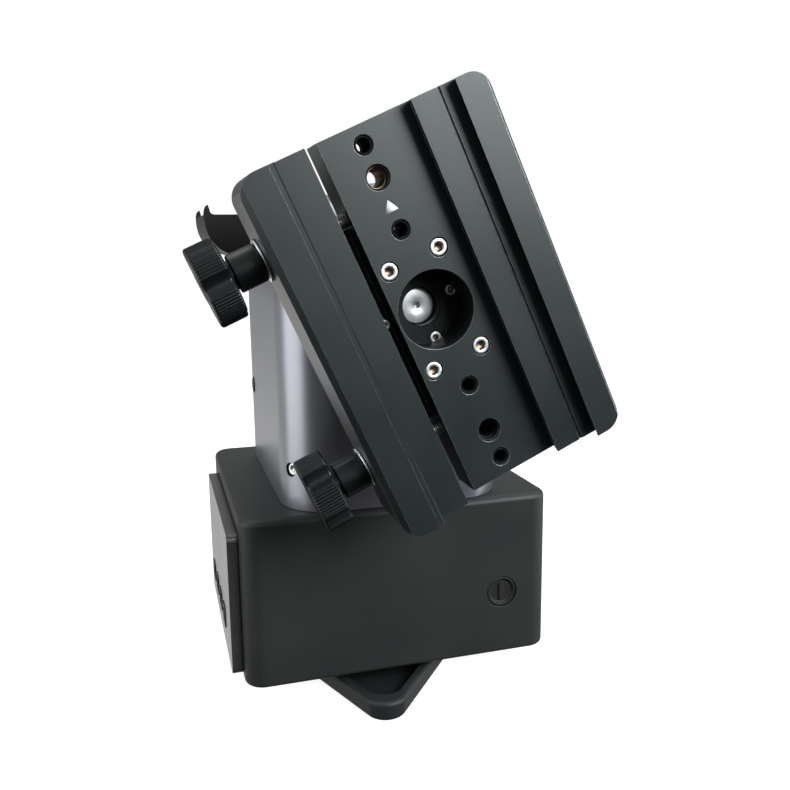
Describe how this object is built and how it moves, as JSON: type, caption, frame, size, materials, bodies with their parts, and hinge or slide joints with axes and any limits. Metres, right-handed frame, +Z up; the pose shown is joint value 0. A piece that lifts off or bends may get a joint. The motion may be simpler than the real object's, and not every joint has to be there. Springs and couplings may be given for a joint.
{
  "type": "motorised two-axis telescope mount head",
  "caption": "Motorised two-axis mount head: a box base turns on a triangular foot, and a clamp saddle for dovetail bars tilts on the arched tower.",
  "frame": {"origin": "on the azimuth axis, on the underside of the foot", "axes": "+Z up along the azimuth axis, -Y towards the front, where the saddle faces, +X to the right"},
  "size_m": [0.2557, 0.287, 0.3817],
  "materials": {
    "foot_casting": "satin black powder coat",
    "housing_paint": "fine matt black paint with a soft sheen",
    "black_anodised": "fine bead-blasted black anodising",
    "silver_anodised": "satin silver anodising",
    "panel_face": "semi-gloss dark grey panel",
    "cover_plastic": "moulded matt black",
    "knob_plastic": "moulded black with a soft gloss",
    "socket_plastic": "moulded dark grey",
    "rubber_trim": "matt black rubber",
    "screw_steel": "bright plated steel",
    "bright_steel": "turned bright steel"
  },
  "bodies": {
    "base": {"foot": "foot_casting", "azimuth_bearing": "black_anodised"},
    "head": {"housing": "housing_paint", "housing_floor": "black_anodised", "front_plug": "rubber_trim", "connector_panel": "panel_face", "socket_power": "socket_plastic", "socket_hand_unit": "socket_plastic", "socket_guide": "socket_plastic", "socket_serial": "socket_plastic", "tower": "silver_anodised", "tower_cover": "cover_plastic", "tower_screw": "screw_steel", "flank_plug": "rubber_trim", "cradle": "cover_plastic"},
    "saddle": {"saddle_plate": "black_anodised", "altitude_hub": "black_anodised", "altitude_shaft": "bright_steel", "jaw_stop_screw": "screw_steel", "saddle_screw_upper_left": "screw_steel", "saddle_screw_upper_right": "screw_steel", "saddle_screw_lower_left": "screw_steel", "saddle_screw_lower_right": "screw_steel", "hub_screw_1": "screw_steel", "hub_screw_2": "screw_steel", "hub_screw_3": "screw_steel", "hub_screw_4": "screw_steel"},
    "jaw": {"saddle_jaw": "black_anodised", "clamp_washer_upper": "bright_steel", "clamp_washer_lower": "bright_steel"},
    "knob_upper": {"clamp_knob_upper": "knob_plastic"},
    "knob_lower": {"clamp_knob_lower": "knob_plastic"}
  },
  "joints": [
    {"name": "azimuth_turn", "type": "hinge", "parent": "base", "child": "head", "pos_m": [0, 0, 0.0187], "axis": [0, 0, 1], "continuous": true},
    {"name": "altitude_turn", "type": "hinge", "parent": "head", "child": "saddle", "pos_m": [0, -0.12, 0.262], "axis": [0, 1, 0], "continuous": true},
    {"name": "jaw_slide", "type": "slide", "parent": "saddle", "child": "jaw", "axis": [0.9097, 0, 0.4153], "range_m": [0, 0.016]},
    {"name": "knob_upper_spin", "type": "hinge", "parent": "jaw", "child": "knob_upper", "pos_m": [-0.11258, -0.158, 0.27985], "axis": [0.9097, 0, 0.4153], "continuous": true},
    {"name": "knob_lower_spin", "type": "hinge", "parent": "jaw", "child": "knob_lower", "pos_m": [-0.06025, -0.158, 0.16523], "axis": [0.9097, 0, 0.4153], "continuous": true}
  ]
}
